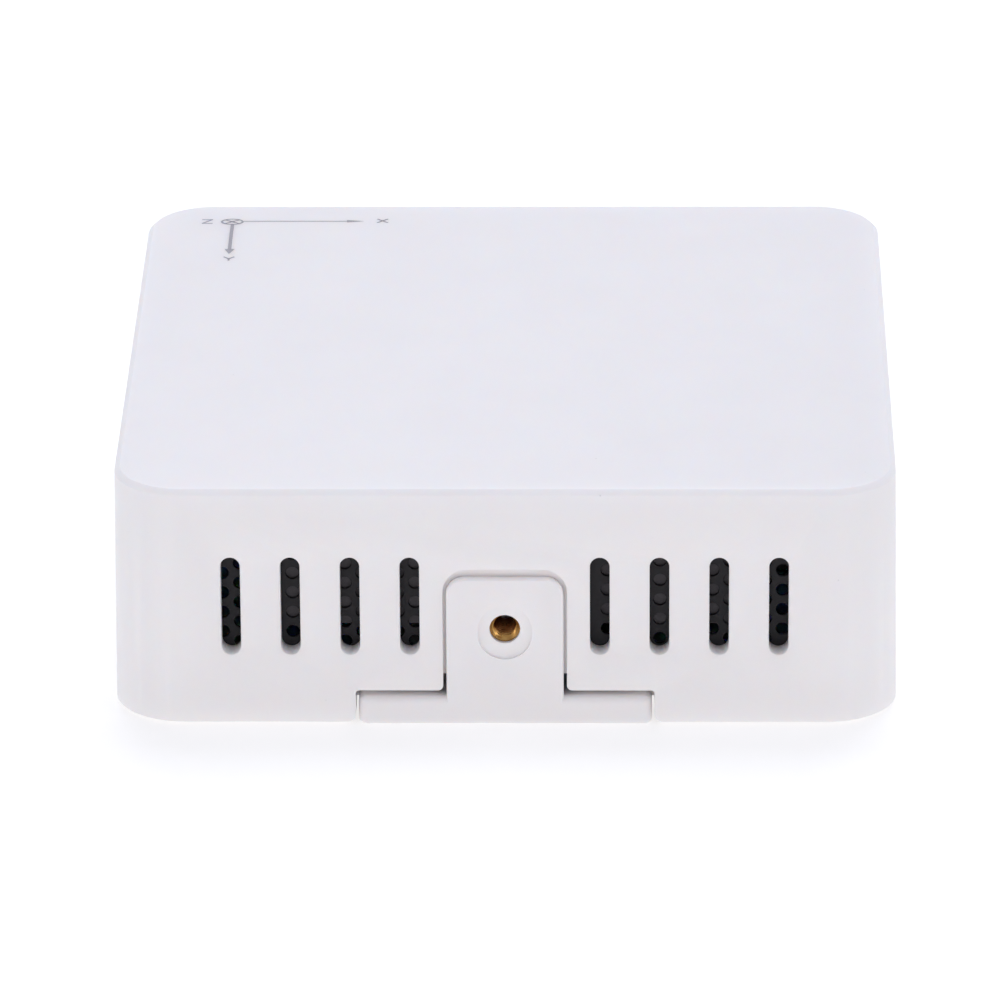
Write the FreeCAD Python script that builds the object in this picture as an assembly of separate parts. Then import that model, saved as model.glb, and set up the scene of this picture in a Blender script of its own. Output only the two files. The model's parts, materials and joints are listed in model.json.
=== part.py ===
import FreeCAD, Part
import math
import os

from FreeCAD import Vector

# Tilt sensor in a square wall casing, held by a bracket that slides into its back.
# Sizes are in millimetres. The sensor lies on its back as it would on a table:
# +Z points out of the plain top face, -Y out of the side with the vents and the bracket's tab,
# +X to the right when that side is faced. The origin is the middle of the plane that the bracket
# rests on.

# Casing
casing_width = 88.0
casing_depth = 88.0
casing_height = 28.05
casing_standoff = 0.35
casing_corner_radius = 8.0
casing_draft = 0.37
top_edge_chamfer = 0.6
side_wall = 2.7
top_wall = 2.4

# Vent slots, a row on each side of the tab
vents_per_side = 4
vent_notch_gap = 2.575
vent_side_margin = 13.45
vent_width = 2.2
vent_length = 11.75
vent_bottom_z = 8.58

# Perforated screens behind the vents
screen_thickness = 0.5
screen_seat_gap = 0.225
screen_outer_margin = 1.4
screen_end_margin = 1.4
screen_hole_diameter = 1.5
screen_hole_sides = 6
screen_column_pitch = 1.955
screen_row_pitch = 2.37
screen_rim = 0.45
left_hole_x = -31.55
left_hole_z = 17.4
right_hole_x = 31.0
right_hole_z = 17.75

# Breather membranes on the backs of the screens
membrane_thickness = 0.2
membrane_outer_inset = 5.2
membrane_bottom_inset = 3.9

# Tab and front lip of the bracket
tab_width = 13.1
tab_height = 17.8
tab_thickness = 0.8
tab_corner_radius = 2.0
tab_edge_chamfer = 0.2
tab_face_inset = 0.1
tab_back_gap = 0.05
tab_side_gap = 0.375
tab_top_gap = 1.05
lip_width = 32.85
lip_height = 3.35
lip_corner_radius = 1.0
lip_top_fillet = 0.85
lip_bottom_chamfer = 0.3
lip_side_gap = 0.3
lip_top_gap = 0.85
lip_back_gap = 0.15

# Recess of the casing for the tab and its cut-out for the lip
notch_extra_radius = 0.7
opening_top_radius = 0.4
opening_inner_radius = 0.6
opening_foot_radius = 0.9

# Locking screw's hole, its recess in the tab and the threaded insert behind it
lock_hole_z = 11.58
lock_hole_diameter = 3.45
lock_recess_width = 6.05
lock_recess_height = 6.65
lock_recess_depth = 0.3
lock_recess_drop = 0.28
insert_bore = 2.5
insert_mouth = 3.3
insert_outer = 4.2
insert_length = 5.5
insert_fit = 0.03
insert_set_back = 0.05
boss_wall = 1.5
boss_end = 1.2
screw_run_out = 1.6
seat_wall = 2.0
seat_margin = 1.5

# Strip of the bracket and the channel it slides in
bracket_length = 78.0
strip_base_width = 21.1
strip_flange_width = 26.0
strip_flange_thickness = 1.15
strip_end_radius = 2.0
slide_gap = 0.2
rail_thickness = 1.2
screw_head_room = 2.6
channel_wall = 1.5
channel_roof = 1.5
channel_end_gap = 1.5

# Wall-screw holes in the strip
wall_hole_count = 2
wall_hole_spacing = 44.0
wall_hole_first = 17.0
wall_hole_diameter = 4.2
wall_hole_head = 8.0

# Rear cover
cover_gap = 0.15
cover_recess = 0.4
cover_thickness = 2.2
cover_rib_wall = 1.4
cover_rib_height = 2.55
cover_pad_height = 2.0
cover_pad_gap = 0.4
lead_in_length = 4.2
lead_in_height = 1.6
cover_screw_inset = 7.8
boss_radius = 3.4
boss_rib = 1.2
boss_rib_gap = 0.6
hook_x = 24.0
hook_width = 8.0
hook_thickness = 1.2
hook_reach = 1.0
hook_rise = 0.6
hook_gap = 0.2
saddle_thickness = 1.6
saddle_spread = 28.0
saddle_cover = 3.0
saddle_gap = 0.3

# Cover screws
cover_screw_shank = 2.5
cover_screw_length = 9.0
cover_screw_head = 4.6
cover_screw_head_height = 1.8
cover_screw_hole = 2.9
cover_screw_counterbore = 5.2
pilot_extra_depth = 1.0
thread_clearance = 0.02

# Main board, clipped against rests under the top
board_thickness = 1.6
board_edge_gap = 1.9
board_boss_gap = 0.8
board_rest_height = 2.0
board_rest_width = 2.4
clip_y = 18.0
clip_length = 6.0
clip_thickness = 1.2
clip_side_gap = 0.15
clip_end_gap = 0.05
clip_nose = 0.7
clip_nose_height = 0.6
clip_tip_height = 1.4

# Lithium cell in its holder
cell_diameter = 14.5
cell_length = 48.6
cell_button_diameter = 5.5
cell_button_height = 1.5
cell_side_margin = 16.4
cell_y = 0.0
holder_base = 0.8
holder_wall = 1.2
holder_gap = 0.25
holder_arm_length = 9.0
holder_arm_spread = 24.0
holder_wrap = 2.2
contact_thickness = 0.4
contact_width = 9.0
contact_height = 12.0
contact_spring_height = 8.0
positive_contact_bow = 1.0
negative_contact_bow = 2.2

# Radio module with its shield can and antenna
radio_x = -15.0
radio_y = 17.0
radio_width = 20.0
radio_depth = 16.0
radio_thickness = 0.8
shield_margin = 1.2
shield_height = 2.2
shield_metal = 0.25
antenna_x = -6.0
antenna_edge_margin = 2.9
antenna_length = 34.0
antenna_width = 6.0
antenna_drop = 5.0
antenna_metal = 0.4
antenna_foot_width = 2.0

# Chips and small parts under the board
front_parts_margin = 3.4
controller_x = -24.0
controller_y = -3.0
controller_side = 7.0
controller_height = 0.9
tilt_chip_x = -6.0
tilt_chip_y = 0.0
tilt_chip_side = 3.0
tilt_chip_height = 1.0
crystal_x = -12.5
crystal_y = 1.5
crystal_length = 5.0
crystal_width = 3.2
crystal_height = 1.1
climate_x = -20.0
climate_side = 3.0
climate_height = 1.1
climate_island = 1.4
climate_slot = 1.0
chip_edge = 0.15
led_x = 12.0
led_length = 3.2
led_width = 1.6
led_base_height = 0.5
led_lens_height = 0.8
led_lens_inset = 0.3
led_lens_chamfer = 0.25
capacitor_x = 1.0
capacitor_y = -18.0
capacitor_diameter = 6.3
capacitor_height = 7.7
capacitor_base_margin = 0.15
capacitor_base_height = 1.2
capacitor_base_chamfer = 1.6
header_side_margin = 6.9
header_y = -22.0
header_pins_long = 5
header_pins_wide = 2
header_pitch = 1.27
header_height = 2.2
header_pin_side = 0.4
header_pin_reach = 3.0

# Reset switch
switch_x = -12.0
switch_y = -22.0
switch_side = 6.2
switch_height = 3.4
button_side = 3.0
button_reach = 1.4
button_collar = 0.5
button_collar_height = 0.8
button_skin = 0.8
button_travel = 0.25
button_gap = 0.1
button_seat_gap = 0.05

# Heights and places worked out from the sizes above
rim_z = casing_standoff
top_z = rim_z + casing_height
inner_top_z = top_z - top_wall
inner_half_x = casing_width / 2 - side_wall
inner_half_y = casing_depth / 2 - side_wall
inner_radius = casing_corner_radius - side_wall
front_y = -casing_depth / 2
inner_front_y = -inner_half_y

tab_front_y = front_y + tab_face_inset
tab_back_y = tab_front_y + tab_thickness
notch_floor_y = tab_back_y + tab_back_gap
notch_half = tab_width / 2 + tab_side_gap
notch_top_z = tab_height + tab_top_gap
vent_first_x = notch_half + vent_notch_gap + vent_width / 2
vent_last_x = casing_width / 2 - vent_side_margin
vent_pitch = (vent_last_x - vent_first_x) / (vents_per_side - 1)
opening_half = lip_width / 2 + lip_side_gap
opening_top_z = lip_height + lip_top_gap

cover_bottom_z = rim_z + cover_recess
cover_top_z = cover_bottom_z + cover_thickness
cover_half_x = inner_half_x - cover_gap
cover_half_y = inner_half_y - cover_gap
cover_radius = inner_radius - cover_gap
cover_front_y = -cover_half_y
cover_rib_top_z = cover_top_z + cover_rib_height
cover_pad_top_z = cover_top_z + cover_pad_height
boss_x = casing_width / 2 - cover_screw_inset
boss_y = -(casing_depth / 2 - cover_screw_inset)
cover_pad_side = 2 * (boss_radius + cover_pad_gap)

rail_top_z = cover_bottom_z + rail_thickness
flange_bottom_z = rail_top_z + slide_gap
strip_top_z = flange_bottom_z + strip_flange_thickness
strip_end_y = tab_front_y + bracket_length
lip_back_y = cover_front_y - lip_back_gap
channel_half = strip_flange_width / 2 + slide_gap
rail_half = strip_base_width / 2 + slide_gap
channel_roof_z = strip_top_z + screw_head_room
channel_top_z = channel_roof_z + channel_roof
channel_end_y = strip_end_y + channel_end_gap

insert_front_y = notch_floor_y + insert_set_back
insert_back_y = insert_front_y + insert_length
seat_back_y = inner_front_y + seat_wall
seat_half = notch_half + seat_margin
seat_top_z = notch_top_z + seat_margin
insert_boss_radius = insert_outer / 2 + boss_wall
insert_boss_end_y = insert_back_y + screw_run_out + boss_end

board_top_z = inner_top_z - board_rest_height
board_bottom_z = board_top_z - board_thickness
board_half_x = inner_half_x - board_edge_gap
board_half_y = inner_half_y - board_edge_gap
cell_x = board_half_x - cell_side_margin
header_x = header_side_margin - board_half_x
climate_y = front_parts_margin - board_half_y
led_y = front_parts_margin - board_half_y
antenna_y = board_half_y - antenna_edge_margin - antenna_width / 2
cell_z = board_bottom_z - holder_base - cell_diameter / 2
cell_radius = cell_diameter / 2
cell_front_y = cell_y - cell_length / 2
cell_back_y = cell_y + cell_length / 2
holder_inner_radius = cell_radius + holder_gap
holder_outer_radius = holder_inner_radius + holder_wall
holder_front_y = cell_front_y - cell_button_height - positive_contact_bow
holder_back_y = cell_back_y + negative_contact_bow

screen_inner_x = seat_half + screen_seat_gap
screen_outer_x = vent_last_x + vent_width / 2 + screen_outer_margin
screen_bottom_z = vent_bottom_z - screen_end_margin
screen_top_z = vent_bottom_z + vent_length + screen_end_margin
screen_back_y = inner_front_y + screen_thickness

# Numbers that only serve the construction
full_turn = 360.0
quarter_turn = 90.0
point_tolerance = 1e-6
edge_tolerance = 1e-4


def flat(z):
    """Places outline points in a level plane."""
    return lambda u, v: Vector(u, v, z)


def upright(y):
    """Places outline points in a plane that faces the front."""
    return lambda u, v: Vector(u, y, v)


def crosswise(x):
    """Places outline points in a plane that faces the side."""
    return lambda u, v: Vector(x, u, v)


def outline(points, place):
    """A closed wire of straight runs through points (u, v)."""
    return Part.makePolygon([place(u, v) for u, v in points + points[:1]])


def rounded_outline(corners, place):
    """A closed wire through corners (u, v, radius), each rounded by its own radius."""
    turns = []
    for index, (u, v, radius) in enumerate(corners):
        before = corners[index - 1]
        after = corners[(index + 1) % len(corners)]
        corner = Vector(u, v, 0)
        into = (corner - Vector(before[0], before[1], 0)).normalize()
        out = (Vector(after[0], after[1], 0) - corner).normalize()
        if radius > 0:
            half_turn = into.getAngle(out) / 2
            reach = radius * math.tan(half_turn)
            inward = (out - into).normalize()
            middle = corner + inward * (radius / math.cos(half_turn) - radius)
            turns.append([corner - into * reach, middle, corner + out * reach])
        else:
            turns.append([corner])
    edges = []
    for index, turn in enumerate(turns):
        points = [place(point.x, point.y) for point in turn]
        if len(points) > 1:
            edges.append(Part.Arc(*points).toShape())
        following = turns[(index + 1) % len(turns)][0]
        if (following - turn[-1]).Length > point_tolerance:
            edges.append(Part.LineSegment(points[-1], place(following.x, following.y)).toShape())
    return Part.Wire(edges)


def rectangle_corners(u_low, u_high, v_low, v_high, radius=0.0):
    """The four corners of a rectangle, in the order that rounded_outline takes."""
    return [
        (u_low, v_low, radius),
        (u_high, v_low, radius),
        (u_high, v_high, radius),
        (u_low, v_high, radius),
    ]


def raised(wire, height):
    """The solid between a level outline and the same outline higher up."""
    return Part.Face(wire).extrude(Vector(0, 0, height))


def deepened(wire, depth):
    """The solid between an upright outline and the same outline further back."""
    return Part.Face(wire).extrude(Vector(0, depth, 0))


def block(x_low, x_high, y_low, y_high, z_low, z_high, radius=0.0):
    """A block between two corners, with its upright edges rounded."""
    return raised(rounded_outline(rectangle_corners(x_low, x_high, y_low, y_high, radius), flat(z_low)),
                  z_high - z_low)


def centred_block(x, y, width, depth, z_low, z_high, radius=0.0):
    return block(x - width / 2, x + width / 2, y - depth / 2, y + depth / 2, z_low, z_high, radius)


def post(x, y, z_low, z_high, radius):
    """A round bar that stands upright."""
    return Part.makeCylinder(radius, z_high - z_low, Vector(x, y, z_low), Vector(0, 0, 1))


def bar(x, z, y_low, y_high, radius):
    """A round bar that points to the back."""
    return Part.makeCylinder(radius, y_high - y_low, Vector(x, y_low, z), Vector(0, 1, 0))


def turned_bar(x, z, profile):
    """A bar that points to the back, turned from a profile of (y, radius) points."""
    points = [(0, profile[0][0])] + [(radius, y) for y, radius in profile] + [(0, profile[-1][0])]
    face = Part.Face(outline(points, lambda u, v: Vector(x + u, v, z)))
    return face.revolve(Vector(x, 0, z), Vector(0, 1, 0), full_turn)


def turned_post(x, y, profile):
    """An upright bar, turned from a profile of (z, radius) points."""
    points = [(0, profile[0][0])] + [(radius, z) for z, radius in profile] + [(0, profile[-1][0])]
    face = Part.Face(outline(points, lambda u, v: Vector(x + u, y, v)))
    return face.revolve(Vector(x, y, 0), Vector(0, 0, 1), full_turn)


def joined(shapes):
    """One solid from shapes that touch or overlap."""
    return shapes[0].multiFuse(shapes[1:]).removeSplitter()


def edges_where(shape, test):
    """The edges of a shape whose ends and middle all pass a test."""
    found = []
    for edge in shape.Edges:
        middle = edge.valueAt((edge.FirstParameter + edge.LastParameter) / 2)
        points = [vertex.Point for vertex in edge.Vertexes] + [middle]
        if all(test(point) for point in points):
            found.append(edge)
    return found


def near(value, target):
    return abs(value - target) < edge_tolerance


def vent_centres():
    """The x of each vent slot, from the left."""
    right = [vent_first_x + index * vent_pitch for index in range(vents_per_side)]
    return [-x for x in reversed(right)] + right


def casing_edge(reach):
    """The casing's outline up one side, whose foot is at the reach."""
    lean = casing_draft * (casing_height - top_edge_chamfer) / casing_height
    return [
        (reach, rim_z),
        (reach - lean, top_z - top_edge_chamfer),
        (reach - lean - top_edge_chamfer, top_z),
    ]


def casing_section(reach):
    """The casing's whole outline, from one side over the top to the other."""
    side = casing_edge(reach)
    return side + [(-u, z) for u, z in reversed(side)]


def casing_body():
    """The drafted outer form with its chamfered top edge: two crossed slabs and a turned quarter
    at each corner."""
    centre_x = casing_width / 2 - casing_corner_radius
    centre_y = casing_depth / 2 - casing_corner_radius
    along = outline(casing_section(casing_width / 2), upright(-centre_y))
    across = outline(casing_section(casing_depth / 2), crosswise(-centre_x))
    parts = [deepened(along, 2 * centre_y), Part.Face(across).extrude(Vector(2 * centre_x, 0, 0))]
    corner = [(0.0, rim_z)] + casing_edge(casing_corner_radius) + [(0.0, top_z)]
    quarter = Part.Face(outline(corner, upright(0.0)))
    quarter = quarter.revolve(Vector(0, 0, 0), Vector(0, 0, 1), quarter_turn)
    for turns, (side_x, side_y) in enumerate([(1, 1), (-1, 1), (-1, -1), (1, -1)]):
        placed = quarter.copy()
        placed.rotate(Vector(0, 0, 0), Vector(0, 0, 1), turns * quarter_turn)
        placed.translate(Vector(side_x * centre_x, side_y * centre_y, 0))
        parts.append(placed)
    return joined(parts)


def front_opening():
    """What the tab's notch and the lip's cut-out take from the front wall."""
    below_z = rim_z - opening_foot_radius
    far_x = opening_half + 2 * opening_foot_radius
    notch_radius = tab_corner_radius + notch_extra_radius
    right = [
        (far_x, below_z, 0.0),
        (far_x, rim_z, 0.0),
        (opening_half, rim_z, opening_foot_radius),
        (opening_half, opening_top_z, opening_top_radius),
        (notch_half, opening_top_z, opening_inner_radius),
        (notch_half, notch_top_z, notch_radius),
    ]
    left = [(-x, z, radius) for x, z, radius in reversed(right)]
    return deepened(rounded_outline(right + left, upright(front_y - side_wall)), 2 * side_wall)


def vent_slot(x):
    corners = rectangle_corners(x - vent_width / 2, x + vent_width / 2,
                                vent_bottom_z, vent_bottom_z + vent_length, vent_width / 2)
    return deepened(rounded_outline(corners, upright(front_y - side_wall)), 2 * side_wall)


def cover_boss(x, y):
    """A boss for a cover screw, with two ribs that tie it to the walls."""
    rib_z = cover_rib_top_z + boss_rib_gap
    wall_x = math.copysign(inner_half_x, x)
    return [
        post(x, y, cover_pad_top_z, inner_top_z, boss_radius),
        block(min(x, wall_x), max(x, wall_x), y - boss_rib / 2, y + boss_rib / 2, rib_z, inner_top_z),
        block(x - boss_rib / 2, x + boss_rib / 2, inner_front_y, y, rib_z, inner_top_z),
    ]


def board_clip(side, y):
    """A clip under the top that holds one side edge of the board, and the rest it pulls it against."""
    edge_x = board_half_x + clip_side_gap
    nose_x = edge_x - clip_nose
    nose_z = board_bottom_z - clip_end_gap
    hook = [
        (edge_x, inner_top_z),
        (edge_x + clip_thickness, inner_top_z),
        (edge_x + clip_thickness, nose_z - clip_tip_height),
        (edge_x, nose_z - clip_tip_height),
        (nose_x, nose_z - clip_nose_height),
        (nose_x, nose_z),
        (edge_x, nose_z),
    ]
    wire = outline([(side * u, z) for u, z in hook], upright(y - clip_length / 2))
    rest_x = sorted([side * board_half_x, side * (board_half_x - board_rest_width)])
    rest = block(rest_x[0], rest_x[1], y - clip_length / 2, y + clip_length / 2, board_top_z, inner_top_z)
    return [deepened(wire, clip_length), rest]


def hook_pocket(x):
    """The pocket in the wall opposite the vents that takes one hook of the cover."""
    low_z = cover_top_z + hook_rise - hook_gap
    high_z = low_z + hook_thickness + 2 * hook_gap
    half = hook_width / 2 + hook_gap
    depth = hook_reach + hook_gap - cover_gap
    return block(x - half, x + half, inner_half_y, inner_half_y + depth, low_z, high_z)


def insert_seat():
    """The floor that the tab's notch has above the channel, with the boss for the threaded insert."""
    seat = block(-seat_half, seat_half, notch_floor_y, seat_back_y, channel_roof_z, seat_top_z)
    boss = bar(0, lock_hole_z, inner_front_y, insert_boss_end_y, insert_boss_radius)
    return [seat, boss]


def front_housing():
    """The casing: four walls and the top in one moulding, open at the back."""
    cavity = block(-inner_half_x, inner_half_x, -inner_half_y, inner_half_y,
                   rim_z, inner_top_z, inner_radius)
    shell = casing_body().cut(cavity)
    shell = shell.cut([front_opening()] + [vent_slot(x) for x in vent_centres()])
    added = insert_seat()
    for x in (-boss_x, boss_x):
        added += cover_boss(x, boss_y)
    for side in (-1, 1):
        for y in (-clip_y, clip_y):
            added += board_clip(side, y)
    shell = joined([shell] + added)
    pilot_radius = cover_screw_shank / 2 + thread_clearance
    pilot_top_z = cover_top_z + cover_screw_length + pilot_extra_depth
    holes = [post(x, boss_y, cover_pad_top_z, pilot_top_z, pilot_radius) for x in (-boss_x, boss_x)]
    holes += [hook_pocket(x) for x in (-hook_x, hook_x)]
    holes.append(bar(0, lock_hole_z, front_y, insert_back_y, insert_outer / 2 + insert_fit))
    holes.append(bar(0, lock_hole_z, front_y, insert_back_y + screw_run_out, insert_mouth / 2))
    return shell.cut(holes)


def channel_space(y_low, y_high):
    """The room inside the cover's channel between two depths, with the gap between its rails."""
    wide = block(-channel_half, channel_half, y_low, y_high, rail_top_z, channel_roof_z)
    narrow = block(-rail_half, rail_half, y_low, y_high, cover_bottom_z, rail_top_z)
    return [wide, narrow]


def lead_in():
    """What is taken from the cover's lower front edge, so that the bracket finds its way in."""
    corners = [
        (cover_front_y, cover_bottom_z),
        (cover_front_y + lead_in_length, cover_bottom_z),
        (cover_front_y, cover_bottom_z + lead_in_height),
    ]
    wedge = Part.Face(outline(corners, crosswise(-opening_half)))
    return wedge.extrude(Vector(2 * opening_half, 0, 0))


def cell_saddle(y):
    """A rib of the cover whose hollow edge steadies the cell."""
    low_z = cover_bottom_z
    high_z = cell_z - cell_radius + saddle_cover
    rib = centred_block(cell_x, y, cell_diameter, saddle_thickness, low_z, high_z)
    room = bar(cell_x, cell_z, y - saddle_thickness, y + saddle_thickness, cell_radius + saddle_gap)
    return rib.cut(room)


def cover_tray():
    """The cover's plate with a rib round it, pads for the screws and hooks at the far edge."""
    outer = rectangle_corners(-cover_half_x, cover_half_x, -cover_half_y, cover_half_y, cover_radius)
    rib_x = cover_half_x - cover_rib_wall
    rib_y = cover_half_y - cover_rib_wall
    inner = rectangle_corners(-rib_x, rib_x, -rib_y, rib_y, cover_radius - cover_rib_wall)
    tray = raised(rounded_outline(outer, flat(cover_bottom_z)), cover_rib_top_z - cover_bottom_z)
    tray = tray.cut(raised(rounded_outline(inner, flat(cover_top_z)), cover_rib_height))
    within = raised(rounded_outline(outer, flat(cover_top_z)), cover_pad_height)
    added = []
    for x in (-boss_x, boss_x):
        tray = tray.cut(centred_block(x, boss_y, cover_pad_side, cover_pad_side,
                                      cover_pad_top_z, cover_rib_top_z))
        pad = centred_block(x, boss_y, cover_pad_side, cover_pad_side, cover_top_z, cover_pad_top_z)
        added.append(pad.common(within))
    hook_z = cover_top_z + hook_rise
    for x in (-hook_x, hook_x):
        added.append(block(x - hook_width / 2, x + hook_width / 2, rib_y, cover_half_y + hook_reach,
                           hook_z, hook_z + hook_thickness))
    return joined([tray] + added)


def rear_cover():
    """The back of the casing, with the channel for the bracket moulded into it."""
    channel_outer = channel_half + channel_wall
    channel = block(-channel_outer, channel_outer, cover_front_y, channel_end_y + channel_wall,
                    cover_bottom_z, channel_top_z)
    saddles = [cell_saddle(cell_y - saddle_spread / 2), cell_saddle(cell_y + saddle_spread / 2)]
    cover = joined([cover_tray(), channel] + saddles)
    roof_front_y = seat_back_y + cover_gap
    seat_room = block(-channel_half, channel_half, cover_front_y, roof_front_y, cover_top_z, channel_top_z)
    screen_room = block(-channel_outer, channel_outer, cover_front_y, roof_front_y,
                        cover_rib_top_z, channel_top_z)
    holes = channel_space(cover_front_y, channel_end_y) + [seat_room, screen_room, lead_in()]
    for x in (-boss_x, boss_x):
        holes.append(post(x, boss_y, cover_bottom_z, cover_pad_top_z, cover_screw_hole / 2))
        holes.append(post(x, boss_y, cover_bottom_z, cover_top_z, cover_screw_counterbore / 2))
    return cover.cut(holes)


def cover_screw(x):
    """A pan-head screw that points up, with its head under the cover's pad."""
    profile = [
        (cover_top_z - cover_screw_head_height, cover_screw_head / 2),
        (cover_top_z, cover_screw_head / 2),
        (cover_top_z, cover_screw_shank / 2),
        (cover_top_z + cover_screw_length, cover_screw_shank / 2),
    ]
    return turned_post(x, boss_y, profile)


def cover_screws():
    return Part.makeCompound([cover_screw(x) for x in (-boss_x, boss_x)])


def brass_insert():
    """The insert for the locking screw, with a mouth that leads the screw in."""
    body = bar(0, lock_hole_z, insert_front_y, insert_back_y, insert_outer / 2)
    bore = bar(0, lock_hole_z, insert_front_y, insert_back_y, insert_bore / 2)
    mouth_depth = (insert_mouth - insert_bore) / 2
    mouth = Part.makeCone(insert_mouth / 2, insert_bore / 2, mouth_depth,
                          Vector(0, insert_front_y, lock_hole_z), Vector(0, 1, 0))
    return body.cut([bore, mouth])


def screen_hole(x, z):
    """The outline of one hole in a screen."""
    points = []
    for corner in range(screen_hole_sides):
        angle = 2 * math.pi * corner / screen_hole_sides
        points.append((x + screen_hole_diameter / 2 * math.cos(angle),
                       z + screen_hole_diameter / 2 * math.sin(angle)))
    return outline(points, upright(inner_front_y))


def vent_screen(x_low, x_high, hole_x, hole_z):
    """A sheet with staggered holes, one of which is centred at hole_x, hole_z."""
    reach = screen_hole_diameter / 2 + screen_rim
    corners = rectangle_corners(x_low, x_high, screen_bottom_z, screen_top_z)
    wires = [rounded_outline(corners, upright(inner_front_y))]
    first_column = math.ceil((x_low + reach - hole_x) / screen_column_pitch)
    last_column = math.floor((x_high - reach - hole_x) / screen_column_pitch)
    for column in range(first_column, last_column + 1):
        shift = screen_row_pitch / 2 * (column % 2)
        first_row = math.ceil((screen_bottom_z + reach - hole_z - shift) / screen_row_pitch)
        last_row = math.floor((screen_top_z - reach - hole_z - shift) / screen_row_pitch)
        for row in range(first_row, last_row + 1):
            wires.append(screen_hole(hole_x + column * screen_column_pitch,
                                     hole_z + shift + row * screen_row_pitch))
    face = Part.Face(wires, "Part::FaceMakerBullseye")
    return face.extrude(Vector(0, screen_thickness, 0))


def vent_membrane(side):
    """The membrane behind the upper part of a screen, on the side -1 or 1."""
    edges = sorted([side * screen_inner_x, side * (screen_outer_x - membrane_outer_inset)])
    return block(edges[0], edges[1], screen_back_y, screen_back_y + membrane_thickness,
                 screen_bottom_z + membrane_bottom_inset, screen_top_z)


def bracket_lip():
    """The wide foot of the bracket's front, rounded where it shows."""
    half = lip_width / 2
    corners = [
        (-half, tab_front_y, lip_corner_radius),
        (half, tab_front_y, lip_corner_radius),
        (half, lip_back_y, 0.0),
        (-half, lip_back_y, 0.0),
    ]
    lip = raised(rounded_outline(corners, flat(0)), lip_height)
    top = [edge for edge in edges_where(lip, lambda p: near(p.z, lip_height))
           if not all(near(vertex.Y, lip_back_y) for vertex in edge.Vertexes)]
    lip = lip.makeFillet(lip_top_fillet, top)
    bottom = [edge for edge in edges_where(lip, lambda p: near(p.z, 0))
              if not all(near(vertex.Y, lip_back_y) for vertex in edge.Vertexes)]
    return lip.makeChamfer(lip_bottom_chamfer, bottom)


def bracket_tab():
    """The upright tab that fills the casing's notch."""
    half = tab_width / 2
    corners = [
        (-half, lip_bottom_chamfer, 0.0),
        (half, lip_bottom_chamfer, 0.0),
        (half, tab_height, tab_corner_radius),
        (-half, tab_height, tab_corner_radius),
    ]
    tab = deepened(rounded_outline(corners, upright(tab_front_y)), tab_thickness)
    rim = [edge for edge in edges_where(tab, lambda p: near(p.y, tab_front_y))
           if not all(near(vertex.Z, lip_bottom_chamfer) for vertex in edge.Vertexes)]
    return tab.makeChamfer(tab_edge_chamfer, rim)


def bracket_strip():
    """The T-shaped strip that runs in the cover's channel."""
    layers = []
    for width, low_z, high_z in [
        (strip_base_width, 0.0, flange_bottom_z),
        (strip_flange_width, flange_bottom_z, strip_top_z),
    ]:
        corners = [
            (-width / 2, lip_back_y, 0.0),
            (width / 2, lip_back_y, 0.0),
            (width / 2, strip_end_y, strip_end_radius),
            (-width / 2, strip_end_y, strip_end_radius),
        ]
        layers.append(raised(rounded_outline(corners, flat(low_z)), high_z - low_z))
    return layers


def mounting_bracket():
    """Lip, tab and strip in one moulding, with the holes for the wall and locking screws."""
    bracket = joined([bracket_lip(), bracket_tab()] + bracket_strip())
    half = lock_recess_width / 2
    recess_z = lock_hole_z - lock_recess_drop
    recess_corners = rectangle_corners(-half, half, recess_z - lock_recess_height / 2,
                                       recess_z + lock_recess_height / 2, half)
    recess = deepened(rounded_outline(recess_corners, upright(tab_front_y)), lock_recess_depth)
    holes = [recess, bar(0, lock_hole_z, tab_front_y, tab_back_y, lock_hole_diameter / 2)]
    sink_depth = (wall_hole_head - wall_hole_diameter) / 2
    for index in range(wall_hole_count):
        y = tab_front_y + wall_hole_first + index * wall_hole_spacing
        holes.append(post(0, y, 0, strip_top_z, wall_hole_diameter / 2))
        holes.append(Part.makeCone(wall_hole_diameter / 2, wall_hole_head / 2, sink_depth,
                                   Vector(0, y, strip_top_z - sink_depth), Vector(0, 0, 1)))
    return bracket.cut(holes)


def main_board():
    """The board, notched for the bosses of the cover screws and slotted round the climate sensor."""
    board = block(-board_half_x, board_half_x, -board_half_y, board_half_y, board_bottom_z, board_top_z)
    cuts = []
    notch = boss_radius + board_boss_gap
    for side in (-1, 1):
        xs = sorted([side * (boss_x - notch), side * casing_width / 2])
        cuts.append(block(xs[0], xs[1], -casing_depth / 2, boss_y + notch, board_bottom_z, board_top_z))
    island = climate_side + 2 * climate_island
    outer = island + 2 * climate_slot
    moat = centred_block(climate_x, climate_y, outer, outer, board_bottom_z, board_top_z)
    bridge = centred_block(climate_x, climate_y + climate_slot, island, outer, board_bottom_z, board_top_z)
    cuts.append(moat.cut(bridge))
    return board.cut(cuts)


def lithium_cell():
    """A round cell that lies along the casing, with its button at the front."""
    profile = [
        (cell_front_y - cell_button_height, cell_button_diameter / 2),
        (cell_front_y, cell_button_diameter / 2),
        (cell_front_y, cell_radius),
        (cell_back_y, cell_radius),
    ]
    return turned_bar(cell_x, cell_z, profile)


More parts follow.
